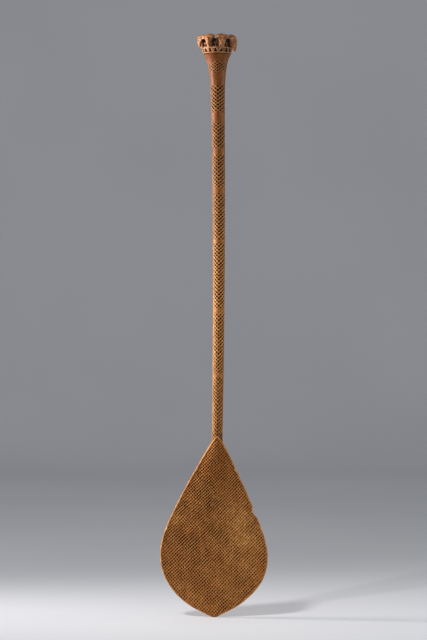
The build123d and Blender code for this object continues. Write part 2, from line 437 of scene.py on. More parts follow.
@dataclass(frozen=True)
class WoodFinish:
    """One tone of the old hardwood: grain along the shaft, painted shade in the notches and recesses, and high spots
    lightened for wear and painted highlight.

    Attributes:
        name: the material's name.
        wear_and_highlight: colour of the high spots, lighter for wear and for painted highlight.
        body: colour of the plain wood.
        deep: painted shade colour in the notches and recesses.
        roughness: the plain wood's roughness.
        patch_size: size of the slow colour patches, in millimetres.
        patch_strength: how far the patches darken or warm the wood.
        full_shade_share: how deep the carving must be, as a share, to take the full painted shade of the notches.
        shine: the shader's specular level.
    """

    name: str
    wear_and_highlight: Colour
    body: Colour
    deep: Colour
    roughness: float = 0.42
    patch_size: float = 60.0
    patch_strength: float = 0.5
    full_shade_share: float = 0.55
    shine: float = 0.30

    def material(self) -> bpy.types.Material:
        """Builds the node material.

        Returns:
            A material whose colour, roughness and bump come from noise on Object coordinates and from
            the marks "cavity" and "rubbed" of the mesh.
        """
        made = bpy.data.materials.new(self.name)
        made.use_nodes = True
        nodes = NodeChain(made.node_tree)
        place = nodes.add("ShaderNodeTexCoord").outputs["Object"]
        along = nodes.add("ShaderNodeMapping", Scale=(1.0, 1.0, 0.07))
        nodes.link(place, along.inputs["Vector"])
        fibres = nodes.noise(along.outputs["Vector"], scale=900.0, detail=4.0, roughness=0.6)
        streaks = nodes.noise(along.outputs["Vector"], scale=150.0, detail=5.0, roughness=0.55)
        patches = nodes.noise(place, scale=1.0 / (self.patch_size * MM), detail=3.0, roughness=0.5)
        specks = nodes.noise(place, scale=420.0, detail=2.0, roughness=0.5)
        # The mark cavity paints shade into notches and recesses; the high spots' mark lightens them partly for wear
        # and partly as painted highlight.
        cavity = nodes.add("ShaderNodeAttribute", attribute_name="cavity").outputs["Fac"]
        cavity = nodes.spread(cavity, 0.06, self.full_shade_share, 0.0, 1.0)
        wear_and_highlight = nodes.add("ShaderNodeAttribute", attribute_name="wear_and_highlight").outputs["Fac"]

        warm = nodes.spread(patches, 0.36, 0.66, 0.0, self.patch_strength)
        tone = nodes.mix_colour(warm, (*self.body, 1.0), (*shaded(self.body, 0.60, 0.06), 1.0))
        grain = nodes.spread(streaks, 0.30, 0.72, 0.0, 0.55)
        tone = nodes.mix_colour(grain, tone, (*shaded(self.body, 0.70, 0.0), 1.0))
        fine = nodes.spread(fibres, 0.35, 0.70, 0.0, 0.30)
        tone = nodes.mix_colour(fine, tone, (*shaded(self.body, 1.28, -0.02), 1.0))
        # Painted highlight and wear: the high spots blend to the light colour, mottled.
        worn = nodes.multiply(wear_and_highlight, nodes.spread(specks, 0.30, 0.62, 0.45, 1.0))
        mottle = nodes.spread(nodes.noise(place, scale=190.0, detail=1.0, roughness=0.5), 0.36, 0.64, 0.0, 1.0)
        high = nodes.mix_colour(mottle, (*self.wear_and_highlight, 1.0), (*shaded(self.wear_and_highlight, 0.66, 0.40), 1.0))
        tone = nodes.mix_colour(worn, tone, high)
        # Painted shade: notches and recesses blend to the deep colour.
        painted_shade = nodes.multiply(cavity, nodes.spread(specks, 0.25, 0.75, 0.93, 1.0))
        tone = nodes.mix_colour(painted_shade, tone, (*self.deep, 1.0))

        gloss = nodes.spread(streaks, 0.30, 0.70, self.roughness - 0.07, self.roughness + 0.09)
        gloss = nodes.add_values(gloss, nodes.multiply(cavity, 0.28))
        relief = nodes.add_values(nodes.multiply(fibres, 0.55), nodes.multiply(specks, 0.45))
        lifted = nodes.add("ShaderNodeBump", Strength=0.35, Distance=0.35 * MM)
        nodes.link(relief, lifted.inputs["Height"])
        shader = nodes.add("ShaderNodeBsdfPrincipled")
        shader.inputs["Specular IOR Level"].default_value = self.shine
        nodes.link(tone, shader.inputs["Base Color"])
        nodes.link(gloss, shader.inputs["Roughness"])
        nodes.link(lifted.outputs["Normal"], shader.inputs["Normal"])
        output = nodes.add("ShaderNodeOutputMaterial")
        nodes.link(shader.outputs["BSDF"], output.inputs["Surface"])
        return made


def srgb(red: int, green: int, blue: int) -> Colour:
    """A display colour of 0 to 255 as the linear values that a shader takes."""
    def linear(value: int) -> float:
        share = value / 255
        return share / 12.92 if share <= 0.04045 else ((share + 0.055) / 1.055) ** 2.4
    return linear(red), linear(green), linear(blue)


def shaded(colour: Colour, factor: float, warmth: float) -> Colour:
    """The colour made darker or lighter by factor, with its blue lowered by warmth."""
    red, green, blue = (min(1.0, value * factor) for value in colour)
    return red, green, blue * (1 - warmth)


class NodeChain:
    """A small helper that adds and links shader nodes."""

    def __init__(self, tree: bpy.types.NodeTree) -> None:
        """Empties the tree and keeps it."""
        tree.nodes.clear()
        self.tree = tree

    def add(self, kind: str, attribute_name: str | None = None, **inputs: object) -> bpy.types.Node:
        """Adds a node of a kind and sets the inputs given by name."""
        node = self.tree.nodes.new(kind)
        if attribute_name is not None:
            node.attribute_name = attribute_name
        for name, value in inputs.items():
            node.inputs[name].default_value = value
        return node

    def link(self, source: bpy.types.NodeSocket, target: bpy.types.NodeSocket) -> None:
        """Joins two sockets."""
        self.tree.links.new(source, target)

    def noise(self, place: bpy.types.NodeSocket, scale: float, detail: float,
              roughness: float) -> bpy.types.NodeSocket:
        """A noise texture's value at a place."""
        node = self.add("ShaderNodeTexNoise", Scale=scale, Detail=detail, Roughness=roughness)
        self.link(place, node.inputs["Vector"])
        return node.outputs["Fac"]

    def spread(self, value: bpy.types.NodeSocket, low: float, high: float, to_low: float,
               to_high: float) -> bpy.types.NodeSocket:
        """Maps a value smoothly from one range to another."""
        node = self.add("ShaderNodeMapRange")
        node.interpolation_type = "SMOOTHSTEP"
        for name, number in (("From Min", low), ("From Max", high), ("To Min", to_low), ("To Max", to_high)):
            node.inputs[name].default_value = number
        self.link(value, node.inputs["Value"])
        return node.outputs["Result"]

    def math(self, operation: str, first: bpy.types.NodeSocket,
             second: bpy.types.NodeSocket | float) -> bpy.types.NodeSocket:
        """A Math node on a socket and a socket or number."""
        node = self.add("ShaderNodeMath")
        node.operation = operation
        self.link(first, node.inputs[0])
        if isinstance(second, float):
            node.inputs[1].default_value = second
        else:
            self.link(second, node.inputs[1])
        return node.outputs[0]

    def multiply(self, first: bpy.types.NodeSocket,
                 second: bpy.types.NodeSocket | float) -> bpy.types.NodeSocket:
        """The product of two values."""
        return self.math("MULTIPLY", first, second)

    def add_values(self, first: bpy.types.NodeSocket,
                   second: bpy.types.NodeSocket | float) -> bpy.types.NodeSocket:
        """The sum of two values."""
        return self.math("ADD", first, second)

    def mix_colour(self, amount: bpy.types.NodeSocket, first: bpy.types.NodeSocket | tuple,
                   second: bpy.types.NodeSocket | tuple) -> bpy.types.NodeSocket:
        """Blends two colours, each a socket or a value, by an amount."""
        node = self.add("ShaderNodeMix")
        node.data_type = "RGBA"
        self.link(amount, node.inputs[0])
        for socket, colour in ((node.inputs[6], first), (node.inputs[7], second)):
            if isinstance(colour, tuple):
                socket.default_value = colour
            else:
                self.link(colour, socket)
        return node.outputs[2]


class Finish(Enum):
    """The tones of the billet, darkest on the crown and warmest on the handled shaft."""

    # Each tone: high-spot colour for wear and painted highlight, body colour, painted shade colour, roughness, patch
    # size, patch strength, full-shade share, shine.
    BLADE = WoodFinish("notched_blade_wood", srgb(255, 194, 124), srgb(170, 97, 40), srgb(17, 8, 3), 0.55, 70.0, 0.5,
                       0.68, 0.10)
    BORDER = WoodFinish("smooth_border_wood", srgb(226, 156, 84), srgb(146, 86, 34), srgb(30, 14, 5), 0.50, 50.0, 0.5,
                        0.55, 0.14)
    SHAFT = WoodFinish("handled_shaft_wood", srgb(246, 172, 100), srgb(102, 54, 20), srgb(18, 8, 3), 0.48, 60.0, 0.6,
                       0.60, 0.12)
    CROWN = WoodFinish("crown_wall_wood", srgb(208, 142, 92), srgb(98, 56, 28), srgb(3, 2, 1), 0.46, 18.0, 0.5,
                       0.48, 0.20)
    FIGURE = WoodFinish("figure_wood", srgb(218, 144, 90), srgb(98, 53, 25), srgb(3, 2, 1), 0.42, 14.0, 0.6,
                        0.50, 0.24)


class Workshop:
    """Turns surfaces into finished pieces that ride on the billet's one body."""

    def __init__(self) -> None:
        """Starts with no materials made."""
        self.materials: dict[Finish, bpy.types.Material] = {}

    def finish(self, name: str, surface: Surface, look: Finish,
               nodes: Sequence[str]) -> bpy.types.Object:
        """Builds one piece, gives it its wood and sets it in the frame.

        Args:
            name: the piece's name.
            surface: its mesh.
            look: its tone of wood.
            nodes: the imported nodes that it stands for.

        Returns:
            The finished object.
        """
        piece = surface.build(name)
        if look not in self.materials:
            self.materials[look] = look.value.material()
        piece.data.materials.append(self.materials[look])
        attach(piece, BODY)
        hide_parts(*nodes)
        triangles = sum(len(f) * (f.shape[1] - 2) for f in surface.faces)
        log.info("%s: %d triangles", name, triangles)
        return piece


@dataclass
class Blade:
    """The leaf-shaped blade: a notched field on both faces, its raised border and its shoulders.

    Attributes:
        form: the blade's outline and thickness.
        rows: rows of notches from the foot to the V's point.
        column_pitch: half the distance between two notches in a row, at mid-height.
        row_spread: how much wider the rows are at the foot than on average.
        column_spread: the same for the columns.
        shear: how far each row falls towards the right, per millimetre.
        border: width of the raised border.
        field_margin: how far the notched field runs on under the border, from the outline.
        least_border: width that the border keeps where its edge is worn away.
        edge_lean: sine of the lean of the edge above the widest level.
        cut: the notch.
    """

    form: BladeForm
    rows: float = 109.0
    column_pitch: float = 3.15
    row_spread: float = 0.075
    column_spread: float = 0.065
    shear: float = 0.10
    border: float = 3.2
    field_margin: float = 0.9
    edge_lean: float = 0.40
    least_border: float = 2.6
    cut: NotchCut = NotchCut(depth=1.8, bar=0.24, flat=0.11, level=0.58, unevenness=0.26, seed=3.1)

    def lattice_to_blade(self, a: Array, b: Array) -> tuple[Array, Array]:
        """Places lattice points on the blade.

        With r = a + b rows up and c = a - b half columns across, t = r / rows gives
        z = H (t + s t (1 - t)) and x = pitch c (1 + s' (1 - 2t)). The rows then fall to the right, drift
        with the hand, and slip by part of a row along an uneven seam near the middle.

        Returns:
            x and z in millimetres.
        """
        t = (a + b) / self.rows
        z = self.form.apex_height * (t + self.row_spread * t * (1 - t))
        x = self.column_pitch * (a - b) * (1 + self.column_spread * (1 - 2 * t))
        seam = Waver(2.2, 120.0, 11)(z) - 3.0
        slip = smooth_step(x - seam, -3.0, 3.0) * 1.3
        z = z - self.shear * x + slip + Waver(0.75, 62.0, 5)(x, z)
        x = x + Waver(0.65, 70.0, 6)(x, z)
        return x, z

    def field(self) -> Surface:
        """The notched field: both faces on one diagonal grid, and the hidden wall between them.

        Four grid lines to a notch lie on a ridge, on its two shoulders and in the notch. Cells whose
        corners all lie inside the margin are kept, and their ragged rim hides under the border.

        Returns:
            The closed surface.
        """
        shares = np.array([-0.5, -0.33, 0.0, 0.33])
        reach = int(self.rows * 0.72)
        lines = np.add.outer(np.arange(-reach // 3, reach + 8), shares).ravel()
        a, b = np.meshgrid(lines, lines, indexing="ij")
        x, z = self.lattice_to_blade(a, b)
        inside = self.form.depth_inside(x, np.clip(z, 0.0, self.form.foot_height))
        inside = np.where((z < 0) | (z > self.form.foot_height), -1.0, inside)
        wear = self.wear(x, z + self.edge_lean * np.clip(inside, 0.0, 8.0))
        keep = inside - wear > self.field_margin
        whole = keep[:-1, :-1] & keep[1:, :-1] & keep[1:, 1:] & keep[:-1, 1:]
        i, j = np.nonzero(whole)
        count = len(lines)
        quads = np.stack([i * count + j, (i + 1) * count + j, (i + 1) * count + j + 1, i * count + j + 1], axis=1)
        used, quads = np.unique(quads, return_inverse=True)
        quads = quads.reshape(-1, 4)
        a, b, x, z, inside, wear = (values.ravel()[used] for values in (a, b, x, z, inside, wear))
        cover = np.maximum(self.border, wear + self.least_border)
        cut_share = self.cut.share(a, b, self.stripes(x, z)) * smooth_step(inside - cover, -0.6, 0.5)
        draw = np.random.default_rng(21)
        level = self.form.skin(x, z) - self.form.relief
        # Mostly painted sheen with some wear; lowest towards the V.
        sheen_and_rubbing = self.sheen_and_rubbing(x, z)
        sheets, marks = [], []
        for side in Side:
            # Notches are shallower and paler where the painted sheen lies.
            hand = 0.88 - 0.24 * sheen_and_rubbing + 0.12 * Waver(1.0, 75.0, 31 + side.value, 7)(x, z)
            share = cut_share * np.clip(hand, 0.55, 1.0)
            depth = np.minimum(self.cut.depth * share, 0.42 * level)
            jitter = draw.normal(scale=0.10, size=(2, len(x)))
            shallow = 0.10 * Waver(1.0, 16.0, 41 + side.value)(x, z)
            y = side.value * (level - depth + shallow - 0.12)
            sheets.append(np.stack([x + jitter[0], y, z + jitter[1]], axis=1))
            # Ridges lighter for wear and painted highlight, most in the painted sheen; the notch share also sets the
            # painted shade.
            wear_and_highlight = np.clip(1 - share * 3, 0, 1) * (0.57 + 0.36 * sheen_and_rubbing + 0.16 * Waver(1.0, 60.0, 51, 7)(x, z))
            marks.append((np.clip(share, 0, 1), np.clip(wear_and_highlight, 0, 1)))
        back = quads + len(x)
        rim = boundary_edges(quads)
        wall = np.stack([rim[:, 0], rim[:, 0] + len(x), rim[:, 1] + len(x), rim[:, 1]], axis=1)
        faces = [quads, back[:, ::-1], wall[:, ::-1]]
        faces = [oriented(np.concatenate(sheets), faces)]
        cavity = np.concatenate([m[0] for m in marks])
        wear_and_highlight = np.concatenate([m[1] for m in marks])
        return Surface(np.concatenate(sheets), faces, {"cavity": cavity, "wear_and_highlight": wear_and_highlight}, 32.0)

    def stripes(self, x: Array, z: Array) -> Array:
        """How far the cross bars lie below the ridges: most across the middle, least near the tip and the V."""
        middle = smooth_step(z, 75.0, 135.0) * (1 - smooth_step(z, 235.0, 290.0))
        return np.clip(0.18 + middle * (0.55 + 0.45 * Waver(1.0, 55.0, 53)(x, z)), 0.0, 1.0)

    def sheen_and_rubbing(self, x: Array, z: Array) -> Array:
        """Painted sheen with some wear on the field: most on the right, near the tip and at the left edge, least
        towards the V.
        """
        zones = 1.10 * bump(x, 56.0, 44.0) * bump(z, 170.0, 80.0) + 0.80 * bump(x, -80.0, 14.0) * bump(z, 205.0, 24.0)
        return zones + 0.15 * bump(z, 20.0, 45.0) - 0.85 * smooth_step(z, 220.0, 320.0)

    def border_path(self, points: int) -> tuple[Array, Array, Array]:
        """The blade's outline and the V over one face as a closed path, evenly spaced.

        Args:
            points: how many points the path has.

        Returns:
            The (x, z) points, the inward normals, and how far each point belongs to the V, from 0 to 1.
        """
        form = self.form
        z = form.root_height * (1 - np.cos(np.linspace(0, math.pi, 1200))) / 2
        left = np.stack([form.middle(z) - form.read(z, 2), z], axis=1)[::-1]
        right = np.stack([form.middle(z) + form.read(z, 2), z], axis=1)
        apex = form.shaft_offset
        rise, soft = form.apex_height - form.root_height, 0.09
        q = np.linspace(0, 1, 80)[1:]
        bend = (np.sqrt((1 - q) ** 2 + soft**2) - soft) / (math.sqrt(1 + soft**2) - soft)
        climb = np.stack([mix(right[-1, 0], apex, q), form.apex_height - rise * bend], axis=1)
        fall = np.stack([mix(left[0, 0], apex, q), form.apex_height - rise * bend], axis=1)[::-1]
        path = np.concatenate([left, right, climb, fall[1:]])
        on_v = np.concatenate([np.zeros(len(left) + len(right)), np.ones(len(climb) + len(fall) - 1)])
        closed = np.concatenate([path, path[:1]])
        length = np.concatenate([[0], np.cumsum(np.linalg.norm(np.diff(closed, axis=0), axis=1))])
        even = np.linspace(0, length[-1], points, endpoint=False)
        x = np.interp(even, length, closed[:, 0])
        z = np.interp(even, length, closed[:, 1])
        share = np.interp(even, length, np.concatenate([on_v, on_v[:1]]))
        spacing = length[-1] / points
        path = np.stack([x, z], axis=1)
        tangent = np.roll(path, -1, axis=0) - np.roll(path, 1, axis=0)
        normal = np.stack([-tangent[:, 1], tangent[:, 0]], axis=1)
        normal /= np.linalg.norm(normal, axis=1)[:, None]
        normal = np.stack([blurred(normal[:, k], 2.6 / spacing) for k in range(2)], axis=1)
        normal /= np.linalg.norm(normal, axis=1)[:, None]
        return path, normal, np.clip(blurred(share, 2.0 / spacing), 0, 1)

    def wear(self, x: Array, z: Array) -> Array:
        """How far the outline is worn inwards: a hollow under a lip, four nicks and small hand drift.

        The hollow deepens evenly for 8 mm below its lip and ends in a steep step at its foot.
        """
        form = self.form
        right = smooth_step(x, 0.0, 5.0)
        left = 1 - smooth_step(x, -5.0, 0.0)
        lip = np.clip((form.loss_high - z) / 8.0, 0.0, 1.0)
        worn = form.loss_depth * right * lip * smooth_step(z, form.loss_low - 1.5, form.loss_low + 9.5)
        worn += 1.6 * right * bump(z, 299.0, 1.9) + 1.1 * left * bump(z, 180.0, 1.6)
        worn += 0.6 * left * bump(z, 262.0, 2.2) + 0.5 * right * bump(z, 96.0, 2.0)
        return worn + np.abs(Waver(0.22, 40.0, 61)(x, z)) + 0.07

    def border_half(self, side: Side, points: int = 900) -> Surface:
        """One half of the border: a profile carried round the outline and over the V of one face.

        With u the share of the width from the outer edge, the band's height is skin * rim(u), where
        rim(t) = sqrt(1 - (1 - t)^2) rounds the blade's edge. On the V the outer edge only steps down
        into the shaft. The profile closes at the blade's mid-plane, and inside the wood on the V.

        Args:
            side: which face.
            points: points along the path.

        Returns:
            The closed surface.
        """
        path, normal, on_v = self.border_path(points)
        form = self.form
        wear = self.wear(path[:, 0], path[:, 1]) * (1 - on_v)
        edge = path + normal * wear[:, None]
        width = self.border + Waver(0.22, 38.0, 71 + side.value)(path[:, 0], path[:, 1])
        inner = path + normal * np.maximum(width, wear + self.least_border)[:, None]
        u = np.array([0.0, 0.03, 0.09, 0.18, 0.30, 0.46, 0.64, 0.82, 0.93, 0.985, 1.0])
        sink = np.array([0.0, 0, 0, 0, 0, 0, 0.02, 0.10, 0.35, 0.70, 1.10])
        spot = edge[:, None, :] + (inner - edge)[:, None, :] * u[None, :, None]
        rounding = 1.5
        held = edge[:, None, :] + normal[:, None, :] * np.maximum(
            np.linalg.norm(inner - edge, axis=1)[:, None] * u[None, :], rounding)[..., None]
        height = form.skin(held[..., 0], np.clip(held[..., 1], 0.0, form.foot_height))
        share = np.clip(np.linalg.norm(inner - edge, axis=1)[:, None] * u[None, :] / rounding, 0, 1)
        rim = np.sqrt(1 - (1 - share) ** 2)
        v = on_v[:, None]
        y = (1 - v) * height * rim + v * (height - 1.7 * (1 - rim)) - sink[None, :]
        crown = 0.12 * np.sin(np.pi * u)[None, :]
        drift = Waver(0.10, 12.0, 81 + side.value)(spot[..., 0], spot[..., 1]) * rim
        y = np.maximum(y + crown + drift - 0.12, 0.0)
        deep = v * np.maximum(height[:, [-1, 3]] - 4.0, 0.0)
        closing = spot[:, [10, 4], :]
        spot = np.concatenate([spot, closing], axis=1)
        y = np.concatenate([y, deep], axis=1)
        rings = np.stack([spot[..., 0], side.value * y, spot[..., 1]], axis=-1)
        columns = rings.shape[1]
        faces = grid_faces(points, columns, wrap_rows=True, wrap_columns=True)
        if side is Side.BACK:
            faces = faces[:, ::-1]
        # Painted shade: darker towards the band's inner foot, and on the V along its outer step.
        cavity = np.tile(np.array([0, 0, 0, 0, 0, 0, 0, 0.05, 0.35, 0.7, 1.0, 1.0, 1.0]), (points, 1))
        cavity[:, :3] += v * np.array([0.9, 0.7, 0.2])
        wear_and_highlight = np.zeros_like(cavity)
        # Band lighter for wear and painted highlight, brightest along the V; real chips show pale wood.
        wear_and_highlight[:, :8] = 0.40 + 0.30 * Waver(1.0, 30.0, 91)(path[:, 0], path[:, 1])[:, None] + 0.5 * v
        chip = bump(path[:, 1], 298.0, 2.6) * (path[:, 0] > 0) + bump(path[:, 1], 180.0, 2.2) * (path[:, 0] < 0)
        wear_and_highlight[:, :8] += 2.0 * chip[:, None] + 0.35 * np.clip(wear - 1.0, 0, 1)[:, None]
        return Surface(rings.reshape(-1, 3), [faces],
                       {"cavity": cavity.ravel(), "wear_and_highlight": np.clip(wear_and_highlight, 0, 1).ravel()}, 50.0)

    def shoulders(self, shaft: "Shaft") -> Surface:
        """The shoulders outside the V: lens-shaped rings with the shaft's notches, sunk out of sight inside the V.

        Each ring is x = middle + wide sin(turn), y = -skin(x) with the sign of cos(turn).

        Args:
            shaft: gives the notches, which fade towards the blade's edges.

        Returns:
            The closed surface.
        """
        form = self.form
        low = form.root_height - 16.0
        z = np.linspace(low, form.foot_height, int((form.foot_height - low) * 8 / shaft.period))[:, None]
        turn = np.linspace(0, 2 * math.pi, shaft.around, endpoint=False)[None, :]
        wide = form.read(z, 2) - form.relief
        x = form.middle(z) + wide * np.sin(turn)
        thick = form.skin(form.middle(z) + (wide + form.relief) * np.sin(turn), z + 0 * turn) - form.relief
        share = shaft.notches(turn, z) * smooth_step(z, form.root_height - 4.0, form.root_height + 10.0)
        above = z - form.v_line(x, 0.6, 1.0)
        share = share * smooth_step(above, 0.6, 1.8)
        inside = smooth_step(-above, 0.0, 2.2)
        thick = np.maximum(thick - 3.2 * inside - shaft.cut.depth * share, 0.0)
        x = x - shaft.cut.depth * share * np.sin(turn)
        rings = np.stack(np.broadcast_arrays(x, -np.sign(np.cos(turn)) * thick, z), axis=-1)
        points, faces = closed_tube(rings)
        # Painted shade along the V's edge and in the notches; the rest lighter for wear and painted highlight.
        v_edge_shade = bump(points[:, 2] - form.v_line(points[:, 0], 0.0, 1.0), -0.2, 1.2)
        cavity = np.maximum(np.concatenate([share.ravel(), [0.0, 0.0]]), 0.8 * v_edge_shade)
        return Surface(points, faces, {"cavity": cavity, "wear_and_highlight": 0.5 * np.clip(1 - 3 * cavity, 0, 1)}, 45.0)


def boundary_edges(quads: Faces) -> Faces:
    """The edges that only one quad has, in the direction in which that quad runs along them."""
    edges = np.concatenate([quads[:, [k, (k + 1) % 4]] for k in range(4)])
    key = np.sort(edges, axis=1)
    _, first, count = np.unique(key, axis=0, return_index=True, return_counts=True)
    return edges[first[count == 1]]


def oriented(points: Array, parts: list[Faces]) -> Faces:
    """Joins quads of one closed shell and turns them all outwards, by the sign of the volume they hold."""
    quads = np.concatenate(parts)
    a, b, c, d = (points[quads[:, k]] for k in range(4))
    volume = np.einsum("ij,ij->i", a, np.cross(b, c)).sum() + np.einsum("ij,ij->i", a, np.cross(c, d)).sum()
    return quads if volume > 0 else quads[:, ::-1]


def blurred(values: Array, reach: float) -> Array:
    """Values round a closed path, blurred by a bell of `reach` points."""
    waves = np.fft.rfftfreq(len(values))
    return np.fft.irfft(np.fft.rfft(values) * np.exp(-2 * (math.pi * waves * reach) ** 2), len(values))


@dataclass
class Shaft:
    """The round shaft and its flared neck, notched in bands with worn stretches between them.

    Attributes:
        form: gives the shaft's bowed centre line.
        low: height of the shaft's foot.
        neck: height where the neck begins.
        top: height of the neck's top.
        top_radius: radius of the neck's top.
        columns: notches round the shaft.
        flare_columns: notches round the flare, which has its own band above flare_foot.
        period: height of one notch and its neighbour's.
        flare_period: the same on the flare.
        around: points round the shaft.
        cut: the notch.
        worn: (height, half length) of each worn stretch.
    """

    form: BladeForm
    low: float
    neck: float
    top: float
    top_radius: float
    columns: int = 9
    flare_columns: int = 13
    flare_foot: float = 1088.0
    period: float = 7.5
    flare_period: float = 6.2
    around: int = 126
    cut: NotchCut = NotchCut(depth=1.5, bar=0.14, flat=0.15, level=0.64, unevenness=0.32, seed=7.7)
    worn: tuple[tuple[float, float], ...] = (
        (488.0, 4.0), (619.0, 5.0), (760.0, 4.0), (861.0, 6.0),
        (941.0, 8.0), (1011.0, 10.0), (1088.0, 14.0), (1145.0, 24.0),
    )

    def radius(self, z: Array) -> Array:
        """The shaft's radius: slow tapers up to the neck, then the flare's own curve."""
        length, neck = self.neck - self.low, self.top - self.neck
        shaft = [(0.0, 11.0), (0.43, 11.9), (0.87, 13.1), (1.0, 13.8)]
        flare = [(0.35, 0.06), (0.57, 0.16), (0.75, 0.34), (0.90, 0.62), (1.0, 1.0)]
        rows = [(self.low + up * length, r) for up, r in shaft]
        rows += [(self.neck + up * neck, mix(13.8, self.top_radius, growth)) for up, growth in flare]
        return smooth_through(z, np.array(rows))

    def carving(self, turn: Array, z: Array) -> Array:
        """How strongly the notches show, from 0 to 1: faint where hands have worn them away."""
        strength = np.ones(np.broadcast_shapes(turn.shape, z.shape))
        edge = Waver(2.6, 14.0, 15)(turn * 12.0, z)
        for middle, half in self.worn:
            reach = np.abs(z - middle + edge) - half
            strength = strength * smooth_step(reach, -2.5, 3.5)
        patchy = 0.90 + 0.14 * Waver(1.0, 34.0, 17)(turn * 12.0, z)
        flare = 1 - 0.35 * smooth_step(z, self.flare_foot, self.flare_foot + 12.0)
        return np.clip(mix(0.20, 1.0, strength) * patchy * flare, 0.0, 1.0)

    def notches(self, turn: Array, z: Array) -> Array:
        """How deep the carving is at a turn from the front and a height, from 0 to 1.

        The notch lattice runs round the shaft: with u = columns * turn / 2 pi and v = z / period, the
        ridges' own coordinates are a = u + v and b = v - u. The two change places on the left half, so
        the ridges rise away from the front on both sides and make chevrons.
        """
        flare = z > self.flare_foot
        u = np.where(flare, self.flare_columns, self.columns) * turn / (2 * math.pi)
        v = (z + Waver(0.8, 55.0, 19)(np.cos(turn) * 5.0, z)) / np.where(flare, self.flare_period, self.period)
        right = self.cut.share(u + v, v - u)
        left = self.cut.share(v - u, u + v)
        return np.where(np.sin(turn) > 0, right, left) * self.carving(np.cos(turn) * 3, z)

    def rubbing(self, turn: Array, z: Array) -> Array:
        """How light the high spots are, for wear and painted highlight: most on the ridges between notches and around
        the middle of the shaft.
        """
        middle_band = bump(z, 580.0, 260.0)
        slow = Waver(1.0, 40.0, 25, 7)(np.sin(turn) * 12, z)
        # Painted highlight and wear on the ridges, strongest around the middle of the shaft.
        return 0.02 + 0.30 * middle_band + (0.40 + 0.34 * middle_band) * self.carving(np.cos(turn) * 3, z) + 0.12 * slow

    def member(self, low: float, high: float, step: float) -> Surface:
        """One length of the shaft as rings round its bowed centre line.

        Args:
            low: height of its lower end.
            high: height of its upper end.
            step: height between two rings.

        Returns:
            The closed surface.
        """
        rows = int(round((high - low) / step)) + 1
        z = np.linspace(low, high, rows)[:, None]
        turn = np.linspace(0, 2 * math.pi, self.around, endpoint=False)[None, :]
        share = self.notches(turn, z)
        radius = self.radius(z) - self.cut.depth * share
        radius = radius + Waver(0.10, 26.0, 23)(np.cos(turn) * 12, np.sin(turn) * 12, z) - 0.10
        x = self.form.shaft_middle(z) + radius * np.sin(turn)
        y = -radius * np.cos(turn)
        rings = np.stack(np.broadcast_arrays(x, y, z), axis=-1)
        # High spots lighter for wear and painted highlight; painted shade in the notches and in a ring at the neck's
        # top under the crown.
        wear_and_highlight = np.clip(1 - share * 2.5, 0, 1) * self.rubbing(turn, z)
        cavity = np.clip(share * 1.15 + bump(z, self.top, 1.3), 0, 1)
        rim = mix(rings[-1].mean(axis=0), rings[-1], 0.86)
        rings = np.concatenate([rings, rim[None]])
        points, faces = closed_tube(rings)
        inner = np.ones(self.around)
        marks = {"cavity": np.concatenate([cavity.ravel(), inner, [0.0, 1.0]]),
                 "wear_and_highlight": np.concatenate([np.clip(wear_and_highlight, 0, 1).ravel(), 0 * inner, [0.0, 0.0]])}
        return Surface(points, faces, marks, 40.0)


def soft_min(first: Array, second: Array, blend: float) -> Array:
    """The smaller of two fields, with a fillet about blend wide: min - (blend - |difference|)^2 / 4 blend."""
    near = np.maximum(blend - np.abs(first - second), 0.0)
    return np.minimum(first, second) - near * near / (4 * blend)


def soft_cut(solid: Array, hole: Array, blend: float) -> Array:
    """The solid less the hole, with the hole's rim rounded."""
    return -soft_min(-solid, hole, blend)


def capsule(places: tuple[Array, Array, Array], start: Sequence[float], stop: Sequence[float],
            thick_start: float, thick_stop: float) -> Array:
    """Distance to a round limb that runs from start to stop and changes its radius on the way."""
    axis = np.subtract(stop, start)
    offset = [place - s for place, s in zip(places, start)]
    t = np.clip(sum(o * k for o, k in zip(offset, axis)) / (axis @ axis), 0.0, 1.0)
    gap = [o - t * k for o, k in zip(offset, axis)]
    return np.sqrt(sum(g * g for g in gap)) - mix(thick_start, thick_stop, t)


@dataclass(frozen=True)
class Fullness:
    """How full of wood the space round a place is, kept on a coarse grid.

    It is the wood's share under a bell-shaped blur: about 0.5 on a flat face, more in a crevice and less on an edge,
    so painted shade goes where it is high and painted highlight with wear where it is low.

    Attributes:
        origin: the grid's first corner.
        step: the grid's spacing.
        values: the fullness at the grid's corners.
    """

    origin: Array
    step: float
    values: Array

    @classmethod
    def of(cls, solid: Field, low: Sequence[float], high: Sequence[float], step: float, blur: float) -> "Fullness":
        """Samples a solid and blurs it, by a product with exp(-2 (pi blur frequency)^2) of its waves.

        Args:
            solid: gives the distance at arrays of x, y, z, below zero inside.
            low: lowest corner of the grid.
            high: highest corner.
            step: the grid's spacing.
            blur: the bell's reach.

        Returns:
            The fullness over the grid.
        """
        axes = [np.arange(a, b + step, step) for a, b in zip(low, high)]
        wood = np.clip(0.5 - solid(*np.meshgrid(*axes, indexing="ij")) / step, 0.0, 1.0)
        waves = np.meshgrid(*(np.fft.fftfreq(len(axis), step) for axis in axes), indexing="ij")
        bell = np.exp(-2 * (math.pi * blur) ** 2 * sum(wave * wave for wave in waves))
        return cls(np.array([axis[0] for axis in axes]), step, np.fft.ifftn(np.fft.fftn(wood) * bell).real)

    def read(self, points: Array) -> Array:
        """The fullness at points, blended between the corners of their cells."""
        place = (points - self.origin) / self.step
        cell = np.clip(np.floor(place).astype(int), 0, np.array(self.values.shape) - 2)
        part = np.clip(place - cell, 0.0, 1.0)
        total = np.zeros(len(points))
        for corner in itertools.product((0, 1), repeat=3):
            weight = np.prod(np.where(corner, part, 1 - part), axis=1)
            total += weight * self.values[tuple((cell + corner).T)]
        return total


